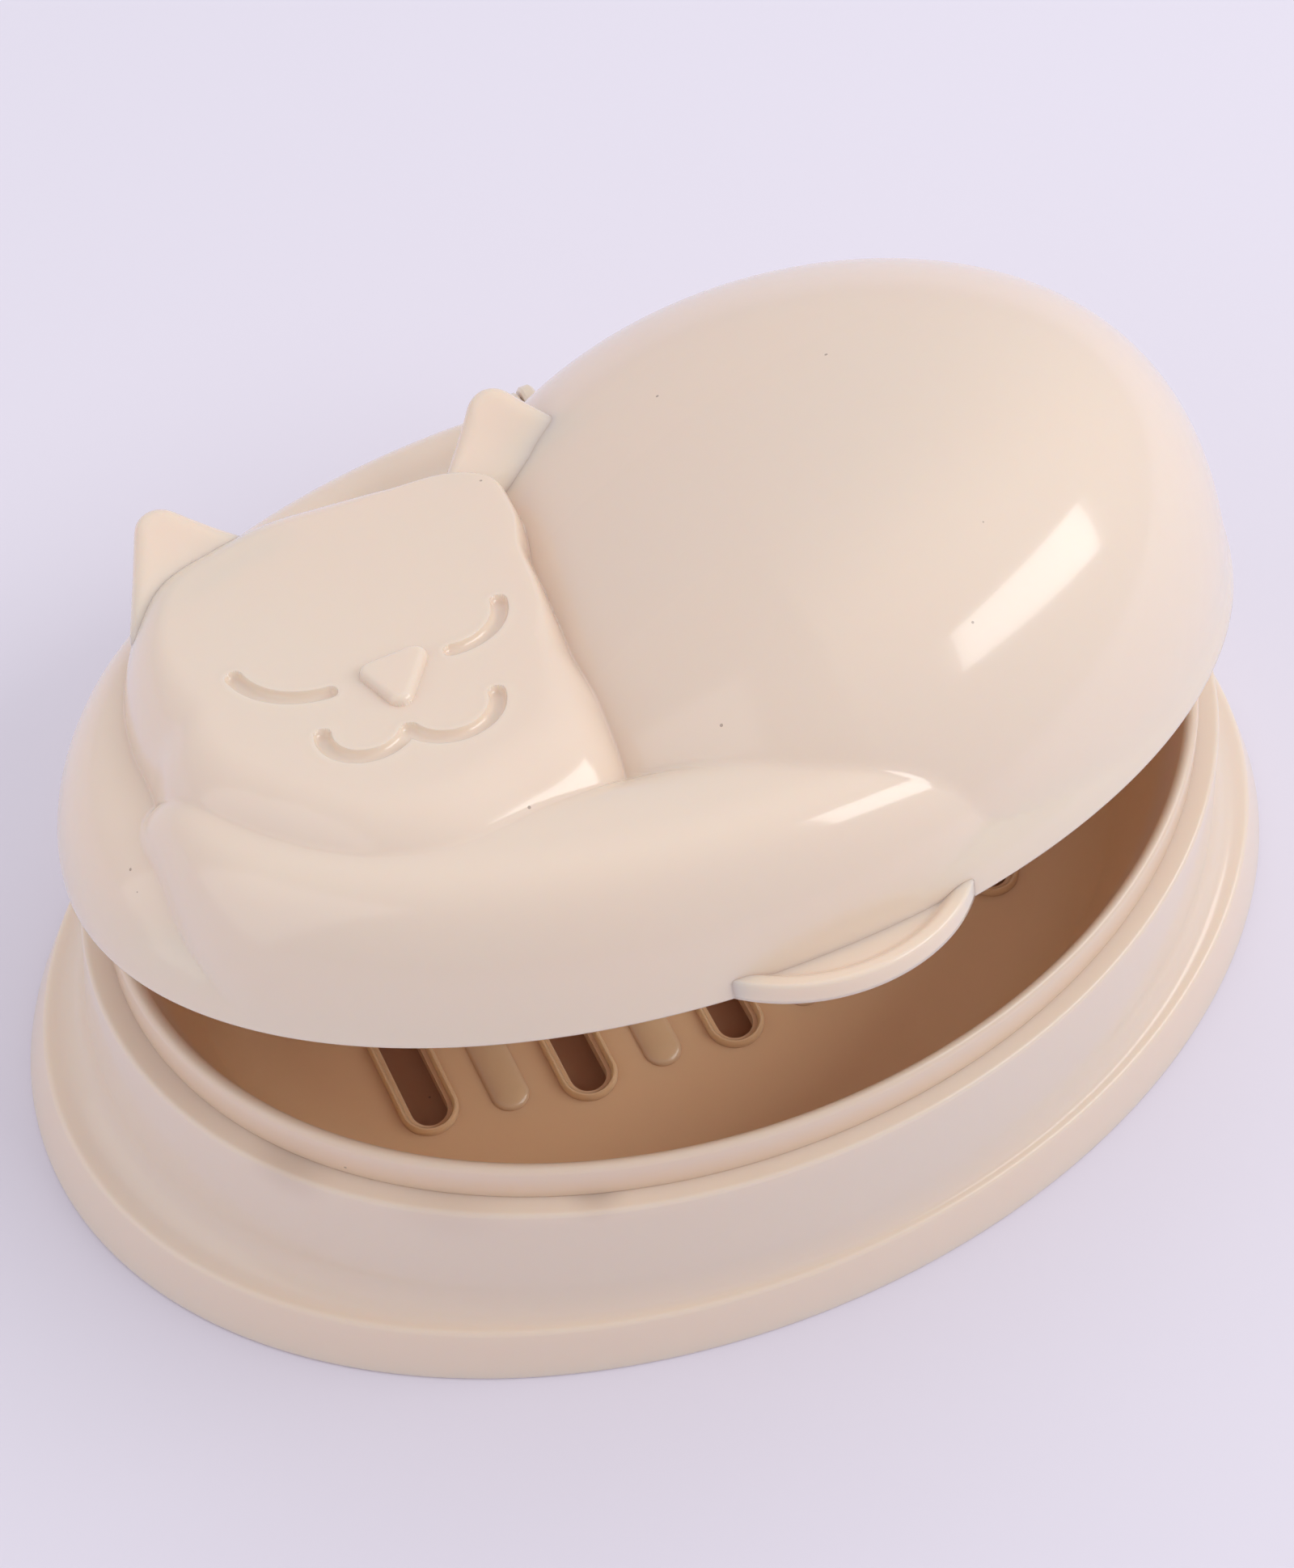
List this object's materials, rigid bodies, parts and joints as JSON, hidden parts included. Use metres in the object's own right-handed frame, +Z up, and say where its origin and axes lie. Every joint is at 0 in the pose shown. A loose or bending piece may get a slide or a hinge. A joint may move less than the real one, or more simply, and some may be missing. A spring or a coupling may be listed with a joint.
{
  "type": "covered soap dish",
  "caption": "Oval soap dish on a flared foot, with a slotted drain tray resting in it and a hinged cover shaped as a curled-up sleeping cat.",
  "frame": {"origin": "centre of the foot's underside, on the surface the dish stands on", "axes": "+X along the oval to the end where the cat's back is, +Y across it to the hinge, +Z up"},
  "size_m": [0.145, 0.1046, 0.0785],
  "materials": {
    "dish_plastic": "glossy cream moulded plastic",
    "tray_plastic": "glossy cream moulded plastic, thinner and warmer in tone",
    "cover_plastic": "glossy cream moulded plastic"
  },
  "bodies": {
    "base": {"dish": "dish_plastic", "drain_tray": "tray_plastic"},
    "lid": {"cover": "cover_plastic"}
  },
  "joints": [
    {"name": "lid_hinge", "type": "hinge", "parent": "base", "child": "lid", "pos_m": [0.0054, 0.0514, 0.0286], "axis": [-1, 0, 0], "range_deg": [-18, 82]}
  ]
}
